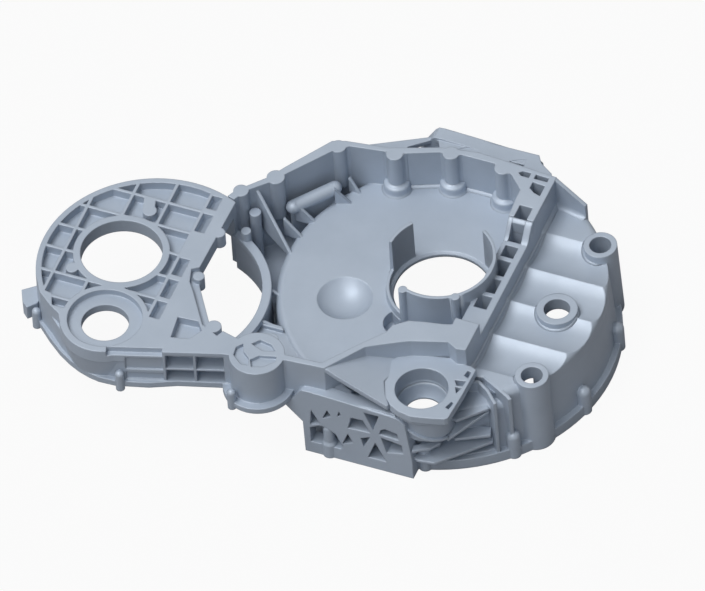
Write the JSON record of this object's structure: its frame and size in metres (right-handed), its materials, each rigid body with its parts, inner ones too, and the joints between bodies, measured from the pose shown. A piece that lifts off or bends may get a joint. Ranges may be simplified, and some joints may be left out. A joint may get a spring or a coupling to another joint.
{
  "type": "flywheel housing",
  "caption": "Cast aluminium flywheel housing: round bell with bolting flange, walled gear chamber, ribbed gear case plate with two bores, starter pad and side mount plates.",
  "frame": {"origin": "crankshaft axis in the plane of the round flange's machined face, at the bottom of the part", "axes": "+Z along the crankshaft axis from the transmission flange towards the engine, +X towards the fluted roof side (down in the vehicle), +Y towards the plain mount plate, -X towards the ribbed gear case plate"},
  "size_m": [0.87, 0.645, 0.188],
  "materials": {
    "casting": "as cast, fine shot-blasted satin"
  },
  "bodies": {
    "root": {"flywheel_housing": "casting"}
  },
  "joints": []
}
